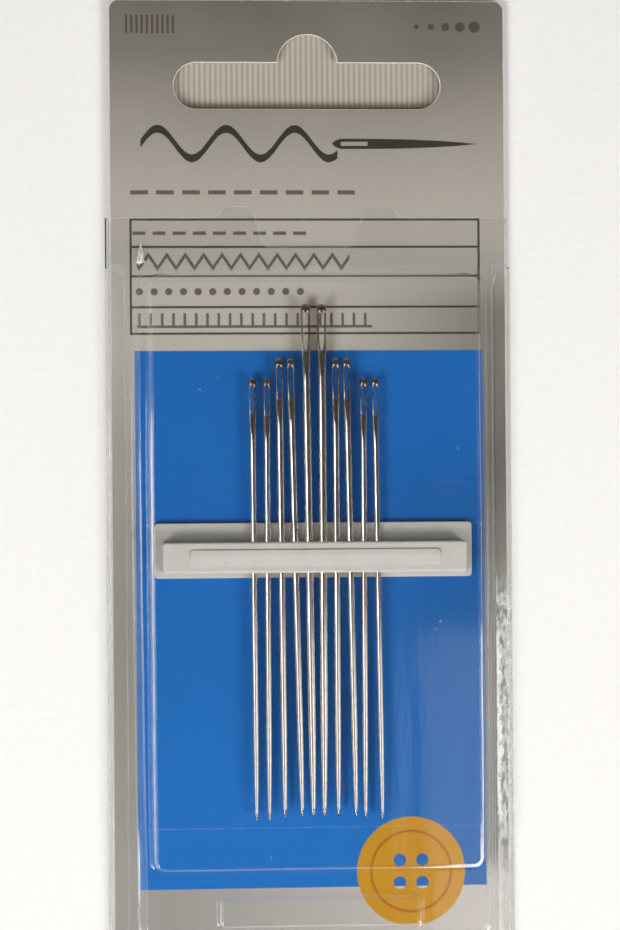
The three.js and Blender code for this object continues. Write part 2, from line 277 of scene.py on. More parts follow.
class Nodes:
    """A short way to write a material's node tree. Lengths in it are millimetres."""

    def __init__(self, name):
        self.material = bpy.data.materials.new(name)
        self.material.use_nodes = True
        self.tree = self.material.node_tree
        self.tree.nodes.clear()

    def add(self, kind, inputs=None, **settings):
        """A new node, with its inputs set to numbers or linked to other nodes."""
        node = self.tree.nodes.new("ShaderNode" + kind)
        for key, value in settings.items():
            setattr(node, key, value)
        for key, value in (inputs or {}).items():
            if isinstance(value, bpy.types.NodeSocket):
                self.tree.links.new(value, node.inputs[key])
            else:
                node.inputs[key].default_value = value
        return node

    def math(self, operation, *values):
        return self.add("Math", dict(enumerate(values)), operation=operation).outputs[0]

    def times(self, *values):
        return reduce(partial(self.math, "MULTIPLY"), values)

    def most(self, *values):
        return reduce(partial(self.math, "MAXIMUM"), values)

    def plus(self, a, b):
        return self.math("ADD", a, b)

    def minus(self, a, b):
        return self.math("SUBTRACT", a, b)

    def size(self, value):
        return self.math("ABSOLUTE", value)

    def place(self):
        """Coordinates in millimetres."""
        inputs = {0: self.add("TexCoord").outputs["Object"], "Scale": 1 / MM}
        return self.add("VectorMath", inputs, operation="SCALE").outputs[0]

    def mark(self, name):
        return self.add("Attribute", attribute_name=name).outputs["Fac"]

    def split(self, vector):
        return self.add("SeparateXYZ", {0: vector}).outputs

    def noise(self, vector, scale, detail=2.0):
        inputs = {"Vector": vector, "Scale": scale, "Detail": detail}
        return self.add("TexNoise", inputs).outputs["Fac"]

    def streaks(self, vector, scales, detail=2.0, turn=0.0, scale=1.0):
        """Noise with a scale of its own along each axis, turned in the plane of the card."""
        inputs = {"Vector": vector, "Rotation": (0, 0, turn), "Scale": scales}
        return self.noise(self.add("Mapping", inputs).outputs[0], scale, detail)

    def ramp(self, value, low, high, start=0.0, end=1.0, smooth=False):
        inputs = {"Value": value, "From Min": low, "From Max": high, "To Min": start, "To Max": end}
        kind = "SMOOTHSTEP" if smooth else "LINEAR"
        return self.add("MapRange", inputs, interpolation_type=kind).outputs["Result"]

    def fall(self, value, low, high, smooth=False):
        return self.ramp(value, low, high, 1.0, 0.0, smooth)

    def colours(self, value, stops):
        node = self.add("ValToRGB", {0: value})
        elements = node.color_ramp.elements
        while len(elements) < len(stops):
            elements.new(0.5)
        for element, (position, colour) in zip(elements, stops):
            element.position = position
            element.color = colour
        return node.outputs["Color"]

    def mix(self, share, a, b, blend="MIX"):
        return self.add("Mix", {0: share, 6: a, 7: b}, data_type="RGBA", blend_type=blend).outputs[2]

    def bump(self, height, distance, strength=1.0):
        inputs = {"Height": height, "Distance": distance * MM, "Strength": strength}
        return self.add("Bump", inputs).outputs[0]

    def shader(self, kind, **values):
        inputs = {name.replace("_", " "): value for name, value in values.items()}
        return self.add("Bsdf" + kind, inputs).outputs[0]

    def surface(self, **values):
        return self.shader("Principled", **values)

    def blend(self, share, a, b):
        return self.add("MixShader", {0: share, 1: a, 2: b}).outputs[0]

    def done(self, shader):
        self.add("OutputMaterial", {"Surface": shader})
        return self.material

    def done_clear(self, shader, passing):
        """As done, for clear sheet: shadow rays and diffuse rays pass it unbent."""
        rays = self.add("LightPath").outputs
        lit = self.blend(rays["Is Shadow Ray"], shader, passing)
        return self.done(self.blend(rays["Is Diffuse Ray"], lit, passing))


def srgb(red, green, blue):
    """A colour given in 0 to 255 steps, as linear values."""
    def linear(v):
        v /= 255
        return v / 12.92 if v <= 0.04045 else ((v + 0.055) / 1.055) ** 2.4
    return linear(red), linear(green), linear(blue), 1.0


SHEET = dict(Base_Color=(1.0, 0.996, 0.99, 1), IOR=1.47, Transmission_Weight=1.0)
SHEET_TINT, SHEET_EDGE_TINT = (0.985, 0.99, 0.99, 1), (0.75, 0.75, 0.75, 1)


def crush_marks_and_lip_highlight(m, place):
    """White marks along the right rail, where its fold was crushed, partly real whitening and partly
    painted highlight, and a painted highlight line at its lip.
    """
    x, y, _ = m.split(place)
    wander = m.streaks(place, (1.1, 0.75, 1.0), 3.0)
    strip = m.plus(x, m.ramp(wander, 0.3, 0.7, -0.4, 0.4))
    fold = m.times(m.ramp(strip, 22.1, 22.4), m.ramp(strip, 23.5, 23.9, 1.0, 0.25))
    blot = m.ramp(m.streaks(place, (2.4, 0.8, 1.0), 3.0), 0.46, 0.56)
    reach = m.times(m.fall(y, -12.0, -7.0), m.ramp(y, -43.0, -40.0, 0.35, 1.0))
    # line is a painted highlight along the lip.
    line = m.times(m.ramp(strip, 22.15, 22.3), m.fall(strip, 22.6, 22.8),
                   m.ramp(y, -17.0, -14.0, 0.85, 0.0), m.ramp(y, -38.5, -37.0, 0.3, 1.0))
    return m.most(m.times(fold, blot, reach, 0.4), line)


def clear_plastic(name, wave_depth, crushed=False):
    """Clear moulded sheet: long soft waves, fine flow marks, a few rubbed scratches and specks; a crushed
    sheet also gets the rail's white marks and painted lip highlight.
    """
    m = Nodes(name)
    place = m.place()
    waves = m.streaks(place, (0.2, 0.035, 0.2), 1.0)
    flow = m.streaks(place, (0.9, 0.12, 0.9))
    normal = m.bump(m.plus(waves, m.times(flow, 0.1)), wave_depth)
    scratches = m.most(m.streaks(place, (0.25, 7.0, 1.0), turn=0.5),
                       m.streaks(place, (0.2, 6.0, 1.0), turn=-0.9))
    patch = m.ramp(m.noise(place, 0.11, 1.0), 0.48, 0.7)
    specks = m.ramp(m.noise(place, 2.1, 0.0), 0.875, 0.9)
    dull_and_glint = m.most(m.times(m.ramp(scratches, 0.66, 0.8), patch, 0.07), m.times(specks, 0.2))
    if crushed:
        dull_and_glint = m.most(dull_and_glint, crush_marks_and_lip_highlight(m, place))
    haze = m.surface(Base_Color=(0.85, 0.86, 0.86, 1), Roughness=0.4)
    body = m.blend(dull_and_glint, m.surface(Roughness=0.045, Normal=normal, **SHEET), haze)
    grazing = m.ramp(m.add("LayerWeight").outputs["Facing"], 0.55, 1.0)
    return m.done_clear(body, m.shader("Transparent", Color=m.mix(grazing, SHEET_TINT, SHEET_EDGE_TINT)))


def thin_sheet(name):
    """The cover's drawn walls: sheet so thin that it bends little light, a little glossier seen
    edge on, with painted white highlights along its edges."""
    m = Nodes(name)
    place = m.place()
    normal = m.bump(m.streaks(place, (0.3, 0.3, 1.2)), 0.01, 0.6)
    facing = m.add("LayerWeight", {"Normal": normal}).outputs["Facing"]
    share = m.plus(m.times(m.math("POWER", facing, 5.0), 0.12), 0.04)
    gloss = m.shader("Glossy", Color=(0.97, 0.98, 1.0, 1), Roughness=0.07, Normal=normal)
    passing = m.shader("Transparent", Color=SHEET_TINT)
    thin = m.blend(share, passing, gloss)
    sheet = m.blend(0.07, thin, m.surface(Roughness=0.03, Normal=normal, **SHEET))
    streaks = m.ramp(m.streaks(place, (0.35, 0.35, 1.0)), 0.3, 0.6, 0.65, 1.0)
    white = m.surface(Base_Color=(0.94, 0.95, 0.97, 1), Roughness=0.3)
    return m.done_clear(m.blend(m.times(m.mark("painted_edge_highlight"), streaks), sheet, white), passing)


def pleat_highlight_sheet(name):
    """Clear sheet painted white on the pinched web, as a painted highlight."""
    m = Nodes(name)
    marks = m.ramp(m.streaks(m.place(), (5.0, 1.2, 1.0)), 0.35, 0.6, 0.25, 0.85)
    white = m.surface(Base_Color=(0.9, 0.91, 0.92, 1), Roughness=0.25)
    return m.done(m.blend(marks, m.shader("Transparent"), white))


def white_plastic(name, light, dark):
    """Moulded white plastic: faint mottling, fine skin texture and rubbed sheen."""
    m = Nodes(name)
    place = m.place()
    mottle = m.noise(place, 0.35, 3.0)
    skin = m.noise(place, 9.0, 3.0)
    flow = m.streaks(place, (0.15, 2.2, 1.0))
    scratch = m.ramp(m.streaks(place, (0.35, 9.0, 1.0), 1.0, 0.75), 0.71, 0.75)
    colour = m.colours(mottle, [(0.3, dark), (0.7, light)])
    colour = m.mix(m.times(scratch, 0.35), colour, srgb(150, 146, 140))
    rough = m.plus(m.ramp(flow, 0.3, 0.7, 0.4, 0.52), m.times(scratch, 0.15))
    height = m.plus(m.times(skin, 0.3), m.times(flow, 0.7))
    return m.done(m.surface(Base_Color=colour, Roughness=rough, Normal=m.bump(height, 0.02, 0.6),
                            Subsurface_Weight=0.08, Subsurface_Scale=0.0006))


def nickel(name):
    """Nickel plate over steel: lengthwise polishing lines, a brown tint at the head as a painted
    reflection, and a point darkened as painted shade.
    """
    m = Nodes(name)
    place = m.place()
    lines = m.streaks(place, (9.0, 0.22, 9.0), 3.0)
    spots = m.noise(place, 1.6, 3.0)
    colour = m.colours(spots, [(0.3, (0.76, 0.72, 0.665, 1)), (0.7, (0.84, 0.81, 0.765, 1))])
    # The head mark paints a brown reflection over the head.
    colour = m.mix(m.times(m.mark("head"), 0.85), colour, (0.36, 0.24, 0.16, 1))
    # The point mark paints shade: the tip darkened almost to black.
    colour = m.mix(m.times(m.mark("point"), 0.95), colour, (0.08, 0.08, 0.086, 1))
    rough = m.ramp(lines, 0.3, 0.7, 0.07, 0.13)
    return m.done(m.surface(Base_Color=colour, Metallic=1.0, Roughness=rough,
                            Normal=m.bump(lines, 0.002, 0.4)))


# Print on the card, in millimetres on the card's face. The silver's tones go up the card and are painted
# light and shade: darker towards the head, lighter lower down.
SILVER_WITH_PAINTED_SHADE = [
    (0.0, 154, 152, 149), (0.14, 156, 153, 149), (0.35, 146, 144, 139), (0.55, 158, 155, 149),
    (0.66, 184, 179, 170), (0.715, 184, 179, 170), (0.745, 175, 170, 162), (0.79, 177, 171, 162),
    (0.83, 168, 162, 153), (0.89, 147, 142, 133), (0.95, 117, 113, 105), (1.0, 106, 102, 95),
]
# Below: the silver's random cloud, a painted sheen on the silver, and a colour for painted shade.
SILVER_CLOUD, SILVER_PAINTED_SHEEN, PAINTED_SHADE = srgb(196, 190, 180), srgb(197, 192, 187), srgb(96, 93, 88)
# The third blue is painted light for the foot of the blue field.
BLUE, BLUE_CLOUD, BLUE_FOOT_PAINTED_LIGHT = srgb(11, 97, 177), srgb(17, 103, 183), srgb(21, 110, 193)
ORANGE, ORANGE_CLOUD, ORANGE_DEEP = srgb(191, 136, 19), srgb(197, 143, 28), srgb(168, 108, 20)
DARK, GREY_INK, RUBBED_INK = srgb(44, 39, 36), srgb(74, 67, 61), srgb(210, 214, 222)
BLUE_BOX = (-20.85, 20.9, -45.66, 18.26)
TABLE_BOX = (-21.25, 20.5, 20.3, 33.86)
TABLE_RULES = (30.6, 27.13, 23.45)
RULE_WIDTH = 0.27
SCORES = (-2.41, -38.54)
BUTTON_X, BUTTON_Y, BUTTON_RADIUS, BUTTON_HOLE, HOLE_PLACE = 11.8, -43.9, 6.5, 1.5, 1.35
THREAD_Y, THREAD_START, THREAD_WAVE, THREAD_SWING = 42.9, -20.0, 8.2, 1.75
PICTURE_HEAD, PICTURE_POINT = 3.0, 20.4


class Print(Nodes):
    """Shapes of ink: each gives 1 inside and 0 outside, with a slightly soft edge."""

    SOFT = 0.035

    def within(self, value, low, high):
        return self.times(self.ramp(value, low - self.SOFT, low + self.SOFT),
                          self.fall(value, high - self.SOFT, high + self.SOFT))

    def near(self, value, width):
        return self.fall(self.size(value), width / 2 - self.SOFT, width / 2 + self.SOFT)

    def less(self, mask, cut):
        return self.times(mask, self.minus(1.0, cut))

    def box(self, x, y, left, right, foot, top):
        return self.times(self.within(x, left, right), self.within(y, foot, top))

    def repeat(self, value, pitch, start=0.0):
        """Distance to the middle of the nearest repeat."""
        return self.math("WRAP", self.minus(value, start), pitch / 2, -pitch / 2)

    def length(self, a, b):
        return self.math("SQRT", self.plus(self.times(a, a), self.times(b, b)))

    def ink(self, colour, mask, share, tone):
        return self.mix(self.times(mask, share), colour, tone)


def card_front():
    """Coated board: silver print with painted shade that darkens it towards the head of the card, a blue
    field, a ruled table of stitch samples, a threaded needle and a button, all generic."""
    m = Print("card_print")
    place = m.place()
    jitter = m.noise(place, 2.5)
    x, y, _ = m.split(place)
    x = m.plus(x, m.ramp(jitter, 0, 1, -0.04, 0.04))
    y = m.plus(y, m.ramp(jitter, 0, 1, 0.04, -0.04))

    # Silver with painted shade, darker to the right beside the blue field, and a painted sheen, lighter
    # to the right at the foot
    cloud = m.noise(place, 0.05)
    colour = m.colours(m.ramp(y, -60.0, 60.0), [(height, srgb(*tone)) for height, *tone in SILVER_WITH_PAINTED_SHADE])
    colour = m.mix(m.ramp(cloud, 0.35, 0.7, 0.0, 0.12), colour, SILVER_CLOUD)
    # across is a mask of painted shade on the silver.
    across = m.times(m.ramp(x, 2.0, 22.0), m.ramp(y, -14.0, 6.0, 0.35, 1.0, smooth=True),
                     m.fall(y, 22.0, 31.0, smooth=True), m.ramp(y, -46.0, -43.0))
    colour = m.mix(m.times(across, 0.62), colour, PAINTED_SHADE, "MULTIPLY")
    # sheen is a mask of painted sheen on the silver at the foot.
    sheen = m.times(m.ramp(x, -16.0, 20.0), m.fall(y, -46.0, -41.0, smooth=True))
    colour = m.mix(sheen, colour, SILVER_PAINTED_SHEEN)

    # Blue field, with painted light that makes it lighter at the foot and painted shade that makes it
    # darker at its lower right
    blue = m.mix(m.ramp(cloud, 0.3, 0.7), BLUE, BLUE_CLOUD)
    blue = m.mix(m.fall(y, -40.0, -8.0), blue, BLUE_FOOT_PAINTED_LIGHT)
    blue_painted_shade = m.times(m.ramp(x, 2.0, 16.0, 0.0, 0.24, smooth=True), m.fall(y, -2.0, 10.0, smooth=True))
    colour = m.mix(m.box(x, y, *BLUE_BOX), colour, m.mix(blue_painted_shade, blue, PAINTED_SHADE, "MULTIPLY"))

    # Ruled table with four stitch samples
    left, right, foot, top = TABLE_BOX
    half = RULE_WIDTH / 2
    border = m.less(m.box(x, y, left - half, right + half, foot - half, top + half),
                    m.box(x, y, left + half, right - half, foot + half, top - half))
    rules = m.most(*[m.near(m.minus(y, rule), RULE_WIDTH) for rule in TABLE_RULES])
    rules = m.times(rules, m.within(x, left, right))
    colour = m.ink(colour, m.most(border, rules), 0.92, DARK)

    bounds = (top, *TABLE_RULES, foot)
    rows = [(a + b) / 2 for a, b in zip(bounds, bounds[1:])]
    start = left + 1.0
    running = m.times(m.near(m.repeat(x, 2.4, start), 1.55), m.near(m.minus(y, rows[0]), 0.42),
                      m.within(x, start - 1.0, 0.2))
    wave = m.math("PINGPONG", m.minus(x, start), 1.1)
    zigzag = m.minus(m.minus(y, rows[1] - 0.8), m.times(wave, 1.45))
    zigzag = m.times(m.near(zigzag, 0.62), m.within(x, start - 0.3, 4.9))
    knots = m.length(m.repeat(x, 1.75, start), m.minus(y, rows[2]))
    knots = m.times(m.near(knots, 0.86), m.within(x, start - 0.6, -0.2))
    teeth = m.times(m.near(m.repeat(x, 1.35, start), 0.32), m.within(y, rows[3] - 0.75, rows[3] + 0.85))
    comb = m.most(m.near(m.minus(y, rows[3] - 0.75), 0.32), teeth)
    comb = m.times(comb, m.within(x, start - 0.3, 7.6))
    colour = m.ink(colour, m.most(running, zigzag, knots, comb), 0.86, GREY_INK)

    # Threaded needle across the head of the card, with a row of stitches below
    turn = m.math("SINE", m.times(m.minus(x, THREAD_START), 2 * math.pi / THREAD_WAVE))
    rise = m.minus(y, THREAD_Y)
    thread = m.near(m.minus(rise, m.times(turn, THREAD_SWING)), 0.95)
    thread = m.times(thread, m.within(x, THREAD_START, PICTURE_HEAD + 0.6))
    taper = m.minus(1.0, m.math("POWER", m.ramp(x, PICTURE_HEAD, PICTURE_POINT), 3.0))
    nose = m.math("POWER", m.ramp(x, PICTURE_HEAD, PICTURE_HEAD + 1.0), 0.5)
    picture = m.ramp(m.minus(m.times(taper, 0.62, nose), m.size(rise)), -0.03, 0.03)
    picture = m.times(picture, m.within(x, PICTURE_HEAD, PICTURE_POINT))
    picture = m.less(picture, m.box(x, y, 4.0, 7.2, THREAD_Y - 0.24, THREAD_Y + 0.24))
    stitches = m.times(m.near(m.repeat(x, 3.1, -20.2), 2.1), m.near(m.minus(y, 37.1), 0.5),
                       m.within(x, -21.4, 6.2))
    colour = m.ink(colour, m.most(thread, picture), 0.95, DARK)
    colour = m.ink(colour, stitches, 0.85, GREY_INK)

    # Ten count marks at the left of the slot, and five dots that grow at the right
    marks = m.times(m.near(m.repeat(x, 0.62, -21.6), 0.26), m.box(x, y, -21.9, -15.75, 56.0, 58.2))
    colour = m.ink(colour, marks, 0.85, GREY_INK)
    for index in range(5):
        dot = m.length(m.minus(x, 13.2 + 1.75 * index), m.minus(y, 56.9))
        colour = m.ink(colour, m.near(dot, 0.55 + 0.2 * index), 0.85, GREY_INK)

    # Four-hole button at the foot
    away_x, away_y = m.minus(x, BUTTON_X), m.minus(y, BUTTON_Y)
    away = m.length(away_x, away_y)
    hole = m.length(m.minus(m.size(away_x), HOLE_PLACE), m.minus(m.size(away_y), HOLE_PLACE))
    disc = m.less(m.near(away, 2 * BUTTON_RADIUS), m.near(hole, BUTTON_HOLE))
    rim = m.near(m.minus(away, BUTTON_RADIUS - 1.7), 0.35)
    orange = m.mix(m.ramp(cloud, 0.3, 0.7), ORANGE, ORANGE_CLOUD)
    colour = m.mix(disc, colour, m.mix(rim, orange, ORANGE_DEEP))

    # Score lines across the card, with ink rubbed off here and there
    score = m.most(*[m.near(m.minus(y, line), 0.12) for line in SCORES])
    worn = m.ramp(m.noise(place, 0.8, 3.0), 0.45, 0.62)
    colour = m.mix(m.times(score, m.ramp(worn, 0, 1, 0.04, 0.18)), colour, RUBBED_INK)

    grain = m.noise(place, 14.0, 3.0)
    colour = m.mix(m.ramp(grain, 0.35, 0.65, 0.0, 0.07), colour, (0.02, 0.02, 0.02, 1))
    fibre = m.streaks(place, (0.7, 3.0, 1.0), 3.0, 0.2)
    relief = m.minus(m.times(m.plus(grain, fibre), 0.3), score)
    return m.done(m.surface(Base_Color=colour, Roughness=m.ramp(fibre, 0.3, 0.7, 0.4, 0.5),
                            Specular_IOR_Level=0.2, Normal=m.bump(relief, 0.03, 0.5)))


def board(name, light, dark, fibre_scale):
    """Bare board: pale fibres in all directions."""
    m = Nodes(name)
    place = m.place()
    fibre = m.most(m.streaks(place, (0.5, 4.0, 4.0), 3.0, 0.4, fibre_scale),
                   m.streaks(place, (4.0, 0.6, 4.0), 3.0, 0.2, fibre_scale))
    colour = m.colours(fibre, [(0.4, dark), (0.7, light)])
    colour = m.mix(m.ramp(m.noise(place, 0.12, 3.0), 0.35, 0.65, 0.0, 0.25), colour, dark)
    return m.done(m.surface(Base_Color=colour, Roughness=0.8, Normal=m.bump(fibre, 0.04, 0.6)))


RIB_HALF = 0.32


def floor_material():
    """Pale table: near white, with a ribbed grey-beige mat under the card that its slot shows."""
    m = Nodes("pale_floor")
    place = m.place()
    x, y, _ = m.split(place)
    rib = m.size(m.math("WRAP", x, RIB_HALF, -RIB_HALF))
    mat = m.colours(m.ramp(rib, 0.0, RIB_HALF), [
        (0.0, srgb(158, 150, 138)), (0.5, srgb(182, 174, 163)), (1.0, srgb(187, 179, 168))])
    inside = m.times(m.fall(m.size(x), 22.4, 23.2), m.fall(m.size(y), 57.5, 58.5))
    pale = m.colours(m.noise(place, 1.2, 3.0), [
        (0.3, (0.905, 0.9, 0.895, 1)), (0.7, (0.93, 0.925, 0.92, 1))])
    height = m.times(m.ramp(rib, 0.0, 0.2), inside)
    return m.done(m.surface(Base_Color=m.mix(inside, pale, mat), Roughness=0.7, Specular_IOR_Level=0.0,
                            Normal=m.bump(height, 0.1, 0.5)))


cover_plastic = clear_plastic("cover_plastic", 0.03)
wall_plastic = thin_sheet("wall_plastic")
pleat_highlight_plastic = pleat_highlight_sheet("pleat_highlight_plastic")
# The tray's crushed rail gets white marks and a painted highlight at its lip.
tray_plastic = clear_plastic("tray_plastic", 0.02, crushed=True)
bar_plastic = white_plastic("bar_plastic", srgb(200, 198, 194), srgb(192, 190, 186))
base_plastic = white_plastic("base_plastic", srgb(187, 185, 181), srgb(179, 177, 172))
needle_nickel = nickel("needle_nickel")


# Backing card: printed face, bare cut edges and bare back. Its sheared edge is drawn in by the
# burr over the edge's height, and it lies clear of the tray by the gap.
CARD_BURR, CARD_EDGE, CARD_GAP = 0.09, 0.05, 0.03
CORNER_STEPS, SLOT_STEPS = 12, 24
FLAT = 0.95


def card_outline():
    x, foot, top, r = card_high.x, card_low.y, card_high.y, CARD_CORNER
    return [(-x, foot), (x, foot), *arc(x - r, top - r, r, 0, 1, CORNER_STEPS),
            *arc(r - x, top - r, r, 1, 2, CORNER_STEPS)]


def slot_outline():
    half, end = SLOT_LENGTH / 2, SLOT_HEIGHT / 2
    middle = card_high.y - SLOT_BELOW_EDGE
    rise = math.asin((end - RISE_LIFT) / RISE_RADIUS) / RIGHT_ANGLE
    return [*arc(half - end, middle, end, -1, 1, SLOT_STEPS),
            *arc(0.0, middle + RISE_LIFT, RISE_RADIUS, rise, 2 - rise, SLOT_STEPS),
            *arc(end - half, middle, end, 1, 3, SLOT_STEPS)]


def backing_card():
    shell = Shell()
    low = card_low.z + CARD_GAP
    rims = []
    for points in (card_outline(), slot_outline()[::-1]):
        drawn = inset_loop(points, CARD_BURR)
        layers = ((drawn, low), (points, low + CARD_EDGE),
                  (points, card_top - CARD_EDGE), (drawn, card_top))
        rims.append([shell.add([(px, py, z) for px, py in loop]) for loop, z in layers])
        shell.loft(rims[-1], smooth=False, ends=False)
    edge, slot = rims
    shell.fill(edge[-1], slot[-1])
    shell.fill(edge[0], slot[0])
    edge_board = board("card_edge", srgb(233, 229, 221), srgb(196, 190, 180), 2.5)
    back_board = board("card_back", srgb(214, 211, 204), srgb(190, 186, 178), 0.6)
    piece = shell.make("card", card_front(), edge_board, back_board)
    for face in piece.data.polygons:
        face.material_index = 0 if face.normal.z > FLAT else 2 if face.normal.z < -FLAT else 1
    return settle(piece, "pack_body", "backing_card")


backing_card()


# Clear cover
WALL_STEPS, WALL_REST = 6, 0.06
SWAY, SWAY_SCALE, SWAY_SLICE = 0.09, 0.07, 4.2
BOW_X, BOW_WIDTH, BOW_Y, BOW_LENGTH, BOW_CURVE, BOW_LEAST = -5.0, 13.0, 8.0, 50.0, 1.6, 0.3
# The cover's outline strip: its width, and the strength of the painted highlight along it.
RIM_WIDTH, RIM_PAINTED_HIGHLIGHT = 0.14, 0.3


def wall_profile(z_foot, z_top, foot_out):
    """How far out, height and normal of a moulded wall, from the ground round to its top."""
    angles = [k / WALL_STEPS * RIGHT_ANGLE for k in range(WALL_STEPS + 1)]
    turns = [(math.sin(angle), math.cos(angle)) for angle in angles]
    points = [(foot_out + FOOT_ROUND + WALL_REST, z_foot, 0.0, 1.0)]
    points += [(foot_out + FOOT_ROUND * (1 - s), z_foot + FOOT_ROUND * (1 - c), s, c) for s, c in turns]
    points += [(-WALL_DRAFT - EDGE_ROUND * (1 - c), z_top - EDGE_ROUND * (1 - s), c, s) for s, c in turns]
    points.append((-WALL_DRAFT - EDGE_ROUND - WALL_REST, z_top, 0.0, 1.0))
    return points


def sway(x, y, amount):
    """A small smooth drift of the moulded walls."""
    shift = noise.noise_vector(Vector((x * SWAY_SCALE, y * SWAY_SCALE, SWAY_SLICE)))
    return x + shift.x * amount, y + shift.y * amount


def bow(x, y, amount):
    """The left walls lean in towards the foot of the pack."""
    down = unit((BOW_Y - y) / BOW_LENGTH) ** BOW_CURVE
    return x + amount * ease((BOW_X - x) / BOW_WIDTH) * lerp(BOW_LEAST, 1.0, down), y


def form_ring(form, out, z):
    ring = rounded_ring(form["left"] - out, form["right"] + out, form["foot"] - out, form["top"] + out,
                        form["corner"] + out, z, form["along_x"], form["along_y"])
    return [(*sway(*bow(px, py, form["bow"]), SWAY), pz) for px, py, pz in ring]


def cover_outline():
    tab, tip = TAB_SPACING / 2, cover_top + TAB_RISE
    right = [
        (flange_half, cover_foot, 0), (flange_half, step_top + EDGE_FIT, 0),
        (card_high.x, step_top + EDGE_FIT, 0), (card_high.x, cover_top, TAB_ROUND),
        (tab + TAB_WIDTH / 2, cover_top, 0), (tab + TAB_TIP_WIDTH / 2, tip, TAB_ROUND),
        (tab - TAB_TIP_WIDTH / 2, tip, TAB_ROUND),
        (NOTCH_FLOOR_WIDTH / 2, cover_top - NOTCH_DEPTH, TAB_ROUND),
    ]
    return rounded_polygon(right + [(-px, py, reach) for px, py, reach in reversed(right)])


FORMS = {
    "step": dict(
        left=-step_half, right=step_half, foot=step_foot, top=step_top, corner=STEP_CORNER,
        along_x=16, along_y=50, bow=0.6, profile=wall_profile(flange_z, step_z, foot_out=-0.06)),
    "window": dict(
        left=WINDOW_SHIFT - window_half, right=WINDOW_SHIFT + window_half, foot=window_foot,
        top=window_top, corner=WINDOW_CORNER, along_x=24, along_y=48, bow=0.2,
        profile=wall_profile(step_z, window_z, foot_out=-0.2)),
    "grip": dict(
        left=GRIP_SHIFT - GRIP_WIDTH / 2, right=GRIP_SHIFT + GRIP_WIDTH / 2, foot=grip_foot,
        top=grip_foot + GRIP_DEPTH, corner=GRIP_CORNER, along_x=8, along_y=2, bow=0.0,
        profile=wall_profile(step_z, grip_z, foot_out=-0.25)),
}
# A small web drawn up in the flange above the step's left corner: outline, then its ridge, then faces
PLEAT = [(-20.15, 28.62), (-19.6, 28.75), (-20.05, 31.3), (-20.62, 28.7)]
PLEAT_RIDGE = [(-20.14, 29.0, 0.4), (-20.1, 30.4, 0.2)]
PLEAT_FACES = [(0, 1, 4), (1, 5, 4), (1, 2, 5), (2, 3, 5), (3, 4, 5), (3, 0, 4)]
# How the painted white highlight spreads over the rows of the window's left and right walls and of the
# step's foot.
# Rows count from a wall's foot, and the rounding of its top starts at row 8.
LEFT_ROWS = {7: 0.1, 8: 0.38, 9: 0.6, 10: 1.0, 11: 1.0, 12: 0.4}
RIGHT_ROWS = {7: 1.0, 8: 1.0, 9: 1.0, 10: 1.0, 11: 0.7, 12: 0.3}
STEP_FOOT_ROWS = {3: 0.6, 4: 1.0, 5: 1.0, 6: 1.0, 7: 0.2}
CREST_ROWS = (10, 11)


def painted_edge_highlight(name, form, row, x, y):
    """How strong the painted white highlight on an edge of the cover is."""
    left = slope(x, (form["left"] + 0.5, 1.0), (form["left"] + 1.3, 0.0))
    right = slope(x, (form["right"] - 1.3, 0.0), (form["right"] - 0.5, 1.0))
    foot = slope(y, (form["foot"] + 0.3, 1.0), (form["foot"] + 1.1, 0.0))
    crest = row in CREST_ROWS
    if name == "window":
        along_left = slope(y, (-43, 0.55), (-10, 0.7), (-7, 1.0), (8, 1.0), (12, 0.12))
        along_right = slope(y, (-17, 1.0), (-14, 0.16), (10, 0.12))
        along_foot = slope(x, (11, 0.18), (14, 0.9))
        corner = slope(x, (14, 0.0), (18, 0.9)) * slope(y, (-41, 1.0), (-37, 0.0))
        return max(left * along_left * LEFT_ROWS.get(row, 0),
                   right * along_right * RIGHT_ROWS.get(row, 0),
                   foot * along_foot * crest, corner * (9 <= row <= 13), 0.05 * crest)
    if name == "step":
        low = slope(y, (-48, 0.2), (-47, 1.0), (-39.5, 1.0), (-38.5, 0.0)) * STEP_FOOT_ROWS.get(row, 0)
        high = slope(y, (5, 0.62), (9, 0.08)) * (row in (12, 13))
        other = max(right * slope(y, (-2, 0.22), (2, 0.05)), foot * 0.22, 0.05) * crest
        return max(left * low, left * high, (1 - left) * other)
    return max(left * 0.45, right * 0.3, foot * 0.25, 0.06) * (row in (9, 10, 11))


def clear_cover():
    shell = Shell()
    rims = []
    # light holds the strength of the painted edge highlight at each point.
    light = []
    for depth in (0.0, WALL):
        level = flange_z - depth
        feet, tops = {}, {}
        for name, form in FORMS.items():
            rings = []
            for row, (out, z, nr, nz) in enumerate(form["profile"]):
                points = form_ring(form, out - depth * nr, z - depth * nz)
                rings.append(shell.add(points))
                light += [0.0 if depth else painted_edge_highlight(name, form, row, px, py) for px, py, _ in points]
            shell.loft(rings, slot=1, ends=False)
            feet[name], tops[name] = rings[0], rings[-1]
        rim = shell.add([(px, py, level) for px, py in cover_outline()])
        outline = shell.add([(px, py, level) for px, py in inset_loop(cover_outline(), RIM_WIDTH)])
        shell.bridge(rim, outline, smooth=False, slot=1)
        pleat = shell.add([(px, py, level) for px, py in PLEAT])
        web = pleat + shell.add([(px, py, level + pz) for px, py, pz in PLEAT_RIDGE])
        for corners in PLEAT_FACES:
            shell.face([web[c] for c in corners], smooth=False, slot=2)
        light += [0.0 if depth else RIM_PAINTED_HIGHLIGHT] * len(rim) + [0.0] * (len(outline) + len(web))
        shell.fill(outline, feet["step"], pleat)
        shell.fill(tops["step"], feet["window"], feet["grip"])
        shell.fill(tops["window"])
        shell.fill(tops["grip"])
        rims.append(rim)
    shell.bridge(rims[0], rims[1], smooth=False)
    shell.marks["painted_edge_highlight"] = light
    piece = shell.make("cover", cover_plastic, wall_plastic, pleat_highlight_plastic)
    return settle(piece, "cover", "clear_cover")


clear_cover()


